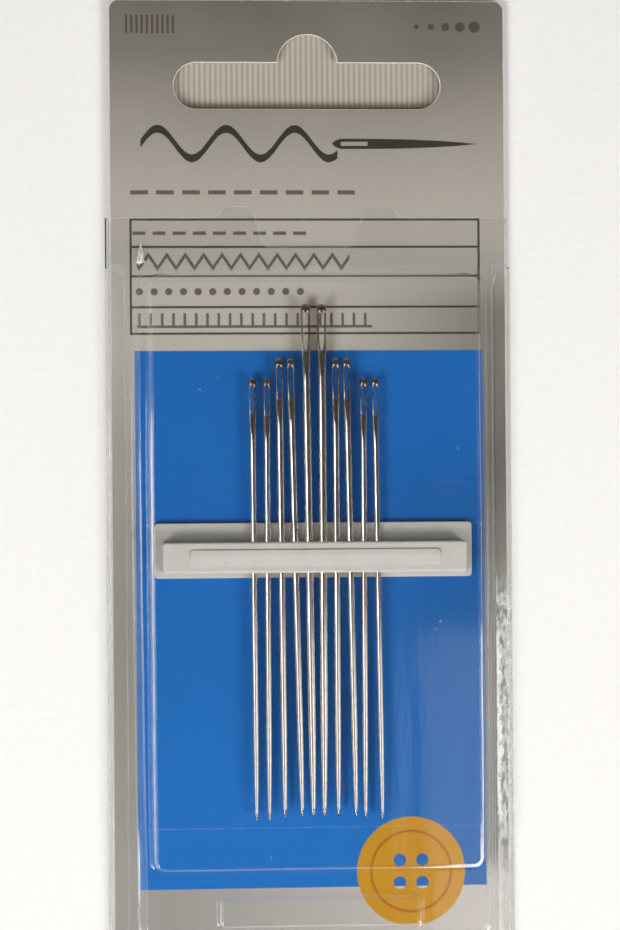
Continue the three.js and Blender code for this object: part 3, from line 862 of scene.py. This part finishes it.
# Clear back tray with folded rails. Part of the right rail is crushed.
RAIL_ROUND, RAIL_REST, RAIL_STEPS = 0.42, 0.15, 4
FOLD_DENT, CRUSH_DENT, CRUSH_FOOT, CRUSH_TOP = 0.035, 0.13, -39, -8
CRUMPLE_X, CRUMPLE_Y, CRUMPLE_SLICE = 1.6, 0.9, 1.3
FINE_STEP, LONG_STEP, LIP_STEPS = 0.4, 1.4, 3
SMALLEST_BEND, LIP_LEAST, RAIL_TAIL, TAIL_CRUSH = 0.02, 0.02, 1.7, 3
# The rail's end: distance below the step's top, and what is left of the lip and of the wall
RAIL_END = [(1.5, 1.0, 1.0), (0.8, 0.8, 1.0), (0.4, 0.05, 0.9), (0.15, 0.02, 0.4), (0.0, 0.0, 0.0)]


def dent(x, y, depth):
    """How far the crushed fold is pushed in and up at a place."""
    push = noise.noise_vector(Vector((x * CRUMPLE_X, y * CRUMPLE_Y, CRUMPLE_SLICE)))
    return -abs(push.x) * depth, abs(push.z) * depth


def rail_section(lip, top, y, side, depth):
    """Right half of the tray's section, from the middle of its back to the middle of its front."""
    out, r = tray_high.x, RAIL_ROUND

    def pushed(px, pz):
        dx, dz = dent(side * px, y, depth)
        return px + dx, pz + dz

    points = [(0.0, 0.0), (out - r - RAIL_REST, 0.0), *arc(out - r, r, r, -1, 0, RAIL_STEPS)]
    bend = min(r, max(SMALLEST_BEND, top - r))
    points += [pushed(*p) for p in arc(out - bend, top - bend, bend, 0, 1, RAIL_STEPS)]
    inner = max(lip, out - bend - RAIL_REST)
    points += [pushed(lerp(inner, lip, k / LIP_STEPS), top) for k in range(LIP_STEPS + 1)]
    points.append(pushed(lip, top - WALL))
    points += [(out - WALL, max(WALL, top - WALL)), (out - WALL, WALL), (0.0, WALL)]
    return points


def back_tray():
    lip_in = card_high.x - LIP_HOLD
    stations = []
    y = cover_foot
    while y < step_top - RAIL_TAIL:
        stations.append((y, 1.0, 1.0))
        y += FINE_STEP if CRUSH_FOOT - 1 < y < CRUSH_TOP + 1 else LONG_STEP
    stations += [(step_top - below, lip, wall) for below, lip, wall in RAIL_END]
    stations.append((cover_top, 0.0, 0.0))
    shell = Shell()
    rings = []
    for y, lip_share, wall_share in stations:
        lip = lerp(tray_high.x - WALL - LIP_LEAST, lip_in, lip_share)
        top = lerp(WALL, tray_high.z, wall_share)
        halves = []
        for side in (1, -1):
            crushed = side > 0 and (CRUSH_FOOT < y < CRUSH_TOP or y > step_top - TAIL_CRUSH)
            depth = (CRUSH_DENT if crushed else FOLD_DENT) * lip_share
            halves.append(rail_section(lip, top, y, side, depth))
        right, left = halves
        ring = [(px, y, pz) for px, pz in right]
        ring += [(-px, y, pz) for px, pz in reversed(left[1:-1])]
        rings.append(shell.add(ring))
    shell.loft(rings)
    piece = shell.make("tray", tray_plastic)
    return settle(piece, "pack_body", "back_tray")


back_tray()


# Living hinge: the sheet's fold between the tray and the cover
HINGE_SETBACK, HINGE_THINNING, HINGE_ARC, HINGE_SPANS = 0.2, 0.7, 14, 24


def living_hinge():
    middle = (tray_low.z + flange_z) / 2
    outer = flange_z - middle
    centre = cover_foot - HINGE_SETBACK
    shell = Shell()
    rings = []
    for k in range(HINGE_SPANS + 1):
        x = lerp(-hinge_half, hinge_half, k / HINGE_SPANS)
        skins = []
        for radius in (outer, outer - WALL * HINGE_THINNING):
            fold = [(x, *p) for p in arc(centre, middle, radius, 3, 1, HINGE_ARC)]
            skins.append([(x, cover_foot, middle - radius), *fold, (x, cover_foot, middle + radius)])
        rings.append(shell.add(skins[0] + skins[1][::-1]))
    shell.loft(rings)
    piece = shell.make("hinge_web", tray_plastic)
    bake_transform(piece)
    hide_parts("living_hinge")
    return piece


living_hinge()


# Needle holder
BASE_EDGE, BAR_REST, SMALLEST_CORNER, CUT_OVER = 0.12, 0.03, 0.1, 1.0
ARCH_STEPS, BAR_STEPS = 16, 5
# Layers of the raised panel: how far in, and how high
PANEL_LAYERS = [(-0.1, 0.0), (-0.06, 0.0), (-0.02, 0.02), (0.02, 0.1), (0.05, 0.16), (0.1, 0.19),
                (0.17, 0.2), (0.21, 0.2)]
PANEL_FOOT_OUT, PANEL_FOOT_IN = -0.15, 1.2


def block_ring(low, high, inset, corner, z):
    return rounded_ring(low.x + inset, high.x - inset, low.y + inset, high.y - inset, corner, z, 10, 4, 6)


def holder_base():
    shell = Shell()
    layers = [(0.0, base_low.z), (0.0, base_high.z - BASE_EDGE),
              (BASE_EDGE * 0.3, base_high.z - BASE_EDGE * 0.3), (BASE_EDGE, base_high.z)]
    shell.loft([shell.add(block_ring(base_low, base_high, inset, BASE_CORNER - inset, z))
                for inset, z in layers])
    return settle(shell.make("holder_plate", base_plastic), "pack_body", "holder_base")


def needle_x(index):
    return ROW_SHIFT + (index - (len(ROW) - 1) / 2) * NEEDLE_PITCH


def needle_lean(index):
    free_gap = NEEDLE_PITCH - COARSE["diameter"] - NEEDLE_FIT
    return math.atan(DRIFT[index] * free_gap / ROW[index]["reach"])


def leaning(index, points, z):
    """Points of one needle's own frame, set in its place under the bar."""
    x, c, s = needle_x(index), math.cos(needle_lean(index)), math.sin(needle_lean(index))
    return [(x + px * c - py * s, bar_middle + px * s + py * c, z + pz) for px, py, pz in points]


def groove_cutters():
    """Arched prisms, open below, that cut the needles' grooves."""
    shell = Shell()
    reach = (bar_high.y - bar_low.y) / 2 + CUT_OVER
    for index, size in enumerate(ROW):
        half = size["diameter"] / 2 + NEEDLE_FIT
        arch = [(half, -CUT_OVER), *arc(0.0, half, half, 0, 2, ARCH_STEPS), (-half, -CUT_OVER)]
        shell.loft([shell.add(leaning(index, [(px, y, pz) for px, pz in arch], base_high.z))
                    for y in (-reach, reach)])
    return shell.make("groove_cutters")


def clamp_bar():
    shell = Shell()
    top = bar_high.z - PANEL_RISE

    def ring(inset, z):
        corner = max(SMALLEST_CORNER, BAR_CORNER - inset)
        return shell.add(block_ring(bar_low, bar_high, inset, corner, z))

    def panel_ring(inset, rise):
        """The panel's foot runs out in a long slope, its other sides in short ones."""
        half_x, half_y = PANEL_LENGTH / 2 - inset, PANEL_DEPTH / 2 - inset
        foot = bar_middle - PANEL_DEPTH / 2 + lerp(PANEL_FOOT_OUT, PANEL_FOOT_IN, rise / PANEL_RISE)
        corner = max(SMALLEST_CORNER, PANEL_CORNER - inset)
        return shell.add(rounded_ring(holder_middle - half_x, holder_middle + half_x, foot,
                                      bar_middle + half_y, corner, top + rise, 10, 2, 6))

    rings = [ring(0.0, bar_low.z)]
    rings += [ring(*p) for p in arc(BAR_ROUND, top - BAR_ROUND, BAR_ROUND, 2, 1, BAR_STEPS)]
    rings.append(ring(BAR_ROUND + BAR_REST, top))
    panel_rings = [panel_ring(inset, rise) for inset, rise in PANEL_LAYERS]
    shell.loft(rings, ends=False)
    shell.loft(panel_rings, ends=False)
    shell.fill(rings[0])
    shell.fill(rings[-1], panel_rings[0])
    shell.fill(panel_rings[-1])
    piece = shell.make("holder_bar", bar_plastic)
    cutters = groove_cutters()
    cut = piece.modifiers.new("grooves", "BOOLEAN")
    cut.operation = "DIFFERENCE"
    cut.solver = "EXACT"
    cut.object = cutters
    cutters.hide_render = True
    bpy.context.view_layer.update()
    shape = bpy.data.meshes.new_from_object(piece.evaluated_get(bpy.context.evaluated_depsgraph_get()))
    piece.modifiers.clear()
    piece.data = shape
    bpy.data.objects.remove(cutters)
    return settle(piece, "pack_body", "clamp_bar")


holder_base()
clamp_bar()


# Needles
SIDE_STEPS, CAP_STEPS, CHEEK_STEPS, HALF_SIDES, RADIAL_STEPS = 14, 16, 4, 16, 6
NECK_LEVELS, SHAFT_LEVELS, POINT_LEVELS = 12, 8, 20
CROWN_START = 0.2
EYE_EDGE, EYE_NARROWING, EYE_LIP = 0.045, 0.5, 0.05
GROOVE_RUN, GROOVE_DEPTH, GROOVE_NARROW, GROOVE_WIDE = 3.4, 0.45, 0.14, 0.4
TIP_STEEPNESS, TIP_FULLNESS, POINT_SPACING = 4.4, 0.8, 1.6
NECK_DROP, EYE_FOOT_DROP, BROWN_REFLECTION_DROP, BROWN_REFLECTION_CURVE = 1.0, 0.5, 0.5, 0.8
DARK_END, BRIGHT_START = 0.05, 0.1


class NeedleForm:
    """The half width and half thickness of one grade of needle along its length."""

    def __init__(self, size):
        self.radius = size["diameter"] / 2
        self.reach = size["reach"]
        self.point = size["point"]
        self.top = size["length"] - size["reach"]
        self.eye_half = size["eye_length"] / 2
        self.eye_width = size["eye_width"] / 2
        self.eye_middle = self.top - EYE_CAP - self.eye_half
        self.blend_end = self.top - EYE_CAP - size["eye_length"]
        self.blend_start = self.blend_end - HEAD_BLEND
        self.wide = size["head"] / size["diameter"]
        self.crown = size["head"] / 2
        self.crown_foot = self.top - self.crown

    def share(self, y):
        return ease((y - self.blend_start) / (self.blend_end - self.blend_start))

    def taper(self, y):
        along = unit((y + self.reach) / self.point)
        return min(along ** POINT_FULLNESS, TIP_STEEPNESS * along ** TIP_FULLNESS)

    def half_width(self, y):
        return self.radius * self.taper(y) * (1 + self.share(y) * (self.wide - 1))

    def half_depth(self, y):
        return self.radius * self.taper(y) * (1 - self.share(y) * HEAD_THINNING)

    def gutter(self, y):
        """Depth of the groove that runs out of the eye along the shaft."""
        if y > self.eye_middle:
            return 0.0
        return GROOVE_DEPTH * self.radius * self.groove_share(y)

    def groove_share(self, y):
        foot = self.eye_middle - self.eye_half
        return unit((y - foot) / GROOVE_RUN + 1) ** 1.5

    def eye_share(self, y):
        """How much of its full width the eye keeps at a height; it narrows towards its foot."""
        return 1 - EYE_NARROWING * unit((self.eye_middle - y) / self.eye_half) ** 2

    def height(self, x, y):
        wide = max(1e-6, self.half_width(y))
        off = (x / wide) ** 2
        if y > self.crown_foot:
            off += ((y - self.crown_foot) / self.crown) ** 2
        lift = self.half_depth(y) * math.sqrt(max(0.0, 1 - off))
        groove = wide * lerp(GROOVE_NARROW, GROOVE_WIDE, self.groove_share(y))
        cut = self.gutter(y) * math.exp(-((x / groove) ** 2))
        return max(0.0, lift - cut) if lift > EYE_LIP else lift


def head_loop(form):
    """Pairs of points, one on the eye's edge with its normal and one on the head's outline."""
    w, straight = form.eye_width, form.eye_half - form.eye_width
    low, high = form.eye_middle - straight, form.eye_middle + straight
    foot = form.eye_middle - form.eye_half - EYE_FOOT_DROP
    wide = form.half_width(form.crown_foot)
    loop = []
    for k in range(SIDE_STEPS):
        y = lerp(low, high, k / SIDE_STEPS)
        loop.append(((w, y), (1.0, 0.0), (form.half_width(y), y)))
    for k in range(CAP_STEPS):
        share = k / CAP_STEPS
        c, s = math.cos(share * math.pi), math.sin(share * math.pi)
        if share < CROWN_START:
            outline = (wide, lerp(high, form.crown_foot, share / CROWN_START))
        elif share > 1 - CROWN_START:
            outline = (-wide, lerp(high, form.crown_foot, (1 - share) / CROWN_START))
        else:
            turn = (share - CROWN_START) / (1 - 2 * CROWN_START) * math.pi
            outline = (wide * math.cos(turn), form.crown_foot + form.crown * math.sin(turn))
        loop.append(((w * c, high + w * s), (c, s), outline))
    for k in range(SIDE_STEPS):
        y = lerp(high, low, k / SIDE_STEPS)
        loop.append(((-w, y), (-1.0, 0.0), (-form.half_width(y), y)))
    total = 2 * CHEEK_STEPS + HALF_SIDES
    for k in range(total):
        c, s = math.cos(math.pi * (1 + k / total)), math.sin(math.pi * (1 + k / total))
        if k < CHEEK_STEPS:
            y = lerp(low, foot, k / CHEEK_STEPS)
            outline = (-form.half_width(y), y)
        elif k <= CHEEK_STEPS + HALF_SIDES:
            outline = (-form.half_width(foot) * math.cos(math.pi * (k - CHEEK_STEPS) / HALF_SIDES), foot)
        else:
            y = lerp(foot, low, (k - CHEEK_STEPS - HALF_SIDES) / CHEEK_STEPS)
            outline = (form.half_width(y), y)
        loop.append(((w * c, low + w * s), (c, s), outline))
    return loop, foot


def head_columns(shell, form, loop, side):
    """One face of the head: a column of points from the eye's edge to the outline at each pair."""
    columns = []
    for (sx, sy), (nx, ny), (ox, oy) in loop:
        sx *= form.eye_share(sy)
        start = (sx + nx * EYE_EDGE, sy + ny * EYE_EDGE)
        column = [(sx, sy, side * max(EYE_LIP, form.height(*start) - EYE_EDGE))]
        for k in range(RADIAL_STEPS + 1):
            t = math.sin(k / RADIAL_STEPS * RIGHT_ANGLE)
            px, py = lerp(start[0], ox, t), lerp(start[1], oy, t)
            column.append((px, py, side * form.height(px, py)))
        columns.append(shell.add(column))
    for a, b in zip(columns, columns[1:] + columns[:1]):
        shell.bridge(a, b, closed=False)
    return columns


def needle(index):
    size = ROW[index]
    form = NeedleForm(size)
    shell = Shell()
    loop, foot = head_loop(form)
    front, back = [head_columns(shell, form, loop, side) for side in (1, -1)]
    shell.bridge([c[0] for c in front], [c[0] for c in back])
    first = 2 * SIDE_STEPS + CAP_STEPS + CHEEK_STEPS
    ring = [front[j][-1] for j in range(first, first + HALF_SIDES + 1)]
    ring += [back[j][-1] for j in range(first + HALF_SIDES - 1, first, -1)]
    neck = form.blend_start - NECK_DROP
    levels = [lerp(foot, neck, k / NECK_LEVELS) for k in range(1, NECK_LEVELS + 1)]
    levels += [lerp(neck, form.point - form.reach, k / SHAFT_LEVELS) for k in range(1, SHAFT_LEVELS + 1)]
    levels += [form.point * (1 - k / POINT_LEVELS) ** POINT_SPACING - form.reach
               for k in range(1, POINT_LEVELS)]
    for y in levels:
        wide = form.half_width(y)
        across = [-wide * math.cos(math.pi * i / HALF_SIDES) for i in range(HALF_SIDES + 1)]
        after = [(px, y, form.height(px, y)) for px in across]
        after += [(px, y, -form.height(px, y)) for px in reversed(across[1:-1])]
        after = shell.add(after)
        shell.bridge(ring, after)
        ring = after
    tip = shell.add([(0.0, -form.reach, 0.0)])[0]
    for i, corner in enumerate(ring):
        shell.face((corner, ring[(i + 1) % len(ring)], tip))
    # The head mark sets where the painted brown reflection lies.
    tint = form.blend_start - BROWN_REFLECTION_DROP
    heights = [p[1] for p in shell.points]
    shell.marks["head"] = [unit((y - tint) / (form.top - tint)) ** BROWN_REFLECTION_CURVE for y in heights]
    # The point mark sets where the tip is darkened as painted shade.
    along = [(y + form.reach) / form.point for y in heights]
    shell.marks["point"] = [slope(share, (DARK_END, 1.0), (BRIGHT_START, 0.0)) for share in along]
    shell.points = leaning(index, shell.points, base_high.z + NEEDLE_FIT + form.radius)
    number = f"{index + 1:02d}"
    piece = shell.make(f"needle_{number}", needle_nickel, crease=75)
    return settle(piece, f"needle_{number}", f"needle_{number}_{size['grade']}")


for needle_index in range(len(ROW)):
    needle(needle_index)


# Stage: floor, light and camera
FLOOR_REACH, FLOOR_Z = 1500.0, -0.02
SKY_LOW, SKY_HIGH = (0.06, 0.056, 0.052, 1), (0.045, 0.041, 0.037, 1)
LAMP_DISTANCE = 0.62
BEAM_AIM = Vector((0, -0.02, 0))


def stage():
    shell = Shell()
    corners = ((-1, -1), (1, -1), (1, 1), (-1, 1))
    shell.face(shell.add([(sx * FLOOR_REACH, sy * FLOOR_REACH, FLOOR_Z) for sx, sy in corners]))
    shell.make("floor", floor_material())

    world = bpy.data.worlds.new("studio")
    bpy.context.scene.world = world
    world.use_nodes = True
    nodes, links = world.node_tree.nodes, world.node_tree.links
    axes, ramp = nodes.new("ShaderNodeSeparateXYZ"), nodes.new("ShaderNodeValToRGB")
    links.new(nodes.new("ShaderNodeTexCoord").outputs["Generated"], axes.inputs[0])
    links.new(axes.outputs["Z"], ramp.inputs[0])
    links.new(ramp.outputs["Color"], nodes["Background"].inputs["Color"])
    low, high = ramp.color_ramp.elements
    low.color, high.color = SKY_LOW, SKY_HIGH


def panel(name, angle, span, foot, top, brightness, colour, distance=LAMP_DISTANCE, heading=0,
          spread=180):
    """A flat lamp beside the card: its angle from straight above and its span in degrees, its reach
    along the card in metres, its brightness against white, its colour, how far it stands off, the
    side it stands at, in degrees from the card's right, and how wide its beam is. A lamp with a
    narrow beam is turned to the card, so that the floor under it stays unlit."""
    data = bpy.data.lights.new(name, "AREA")
    data.shape = "RECTANGLE"
    data.size = 2 * distance * math.tan(math.radians(span / 2))
    data.size_y = top - foot
    data.energy = brightness * math.pi * data.size * data.size_y
    data.color = colour
    piece = link(name, data)
    turn, side = math.radians(angle), math.radians(heading)
    place = Vector((distance * math.sin(turn), (foot + top) / 2, distance * math.cos(turn)))
    piece.location = Matrix.Rotation(side, 3, "Z") @ place
    piece.rotation_euler = (0, turn, side)
    if spread < 180:
        data.spread = math.radians(spread)
        piece.rotation_euler = (piece.location - BEAM_AIM).to_track_quat("Z", "Y").to_euler()


def camera():
    """At the photograph's angle: a little from the left, with the card turned by its small roll."""
    aim = Vector((0.011, 4.612, card_top)) * MM
    lean_x, lean_y, roll = math.radians(-7.0), math.radians(-0.5), math.radians(-0.417)
    distance, pixels_per_mm, image_height, sensor = 0.6, 8.3957, 930, 24.0
    back = Vector((math.sin(lean_x), math.sin(lean_y), 0.0))
    back.z = math.sqrt(1 - back.length_squared)
    right = Vector((0, 1, 0)).cross(back).normalized()
    up = back.cross(right)
    c, s = math.cos(roll), math.sin(roll)
    right, up = right * c + up * s, up * c - right * s
    data = bpy.data.cameras.new("camera")
    data.sensor_fit = "VERTICAL"
    data.sensor_height = sensor
    data.lens = sensor * pixels_per_mm * (distance / MM) / image_height
    data.clip_start, data.clip_end = 0.01, 20
    piece = link("camera", data)
    turned = Matrix((right, up, back)).transposed().to_4x4()
    piece.matrix_world = Matrix.Translation(aim + back * distance) @ turned
    bpy.context.scene.camera = piece


stage()
panel("key_left", -46, 22, -0.57, -0.2, 1.58, (1.0, 0.985, 0.96), spread=60)
panel("key_right", 46, 22, -0.57, -0.2, 1.24, (1.0, 0.985, 0.97), spread=60)
panel("window_left_end", -38, 12, -0.035, 0.027, 9.0, (1.0, 0.97, 0.92))
panel("window_left_side", -33, 40, -0.25, -0.035, 0.95, (1.0, 0.98, 0.95))
panel("strip_left", -40, 9, -0.25, -0.035, 1.7, (1.0, 0.985, 0.97))
panel("strip_right", 40, 10, -0.19, -0.033, 1.7, (1.0, 0.985, 0.97))
panel("lamp_right", 56, 18, -0.46, -0.24, 5.0, (1.0, 0.98, 0.95), distance=0.5)
panel("window_right_inner", 14.5, 10.4, -0.2, -0.03, 0.8, (1.0, 0.98, 0.98))
panel("window_right", 50, 60, -0.2, -0.03, 0.95, (1.0, 0.98, 0.96))
panel("shelf_right", 14.5, 10.4, -0.16, -0.0895, 4.6, (1.0, 0.97, 0.96))
panel("low_head", 62, 36, -0.5, 0.5, 0.35, (1.0, 0.985, 0.96), heading=90)
panel("strip_foot", 44, 2, -0.4, 0.4, 3.5, (0.97, 0.97, 1.0), heading=-90)
camera()

scene = bpy.context.scene
scene.view_settings.view_transform = "Standard"
